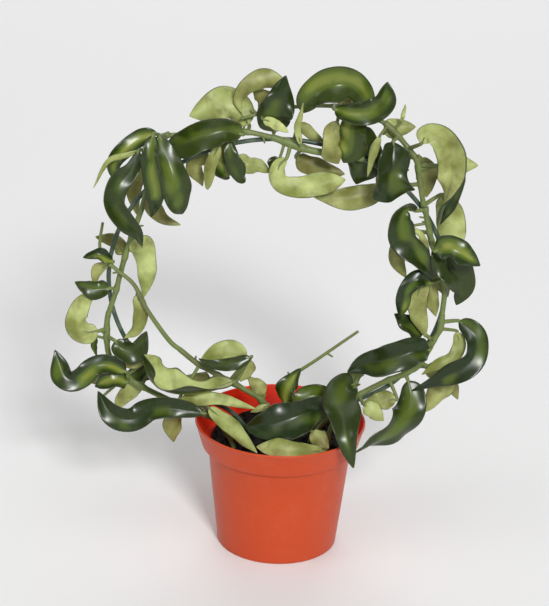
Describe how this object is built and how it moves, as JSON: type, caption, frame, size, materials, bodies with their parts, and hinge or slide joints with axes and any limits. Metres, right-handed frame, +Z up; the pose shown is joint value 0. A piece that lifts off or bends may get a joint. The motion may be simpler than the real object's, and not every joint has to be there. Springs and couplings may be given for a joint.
{
  "type": "potted hoya",
  "caption": "Climbing hoya with thick curled leaves, trained round an upright wire hoop in a flared plastic nursery pot.",
  "frame": {"origin": "middle of the pot's flat base, on the ground", "axes": "+Z up, the hoop stands in the X-Z plane, front towards -Y"},
  "size_m": [0.3021, 0.12, 0.3549],
  "materials": {
    "pot_plastic": "satin moulded plastic",
    "potting_soil": "damp, crumbly and matte",
    "coated_wire": "smooth plastic coating",
    "waxy_leaf": "waxy and glossy above, dull below"
  },
  "bodies": {
    "root": {"pot": "pot_plastic", "soil": "potting_soil", "hoop": "coated_wire", "vine_left_low": "waxy_leaf", "vine_left_mid": "waxy_leaf", "vine_left_top": "waxy_leaf", "vine_top_left": "waxy_leaf", "vine_over_top": "waxy_leaf", "vine_top_mid": "waxy_leaf", "vine_right_top": "waxy_leaf", "vine_right_mid": "waxy_leaf", "vine_right_low": "waxy_leaf", "shoot_front": "waxy_leaf", "shoot_centre": "waxy_leaf", "young_vine_low": "waxy_leaf", "shoot_left": "waxy_leaf", "young_vine_tip": "waxy_leaf"}
  },
  "joints": []
}
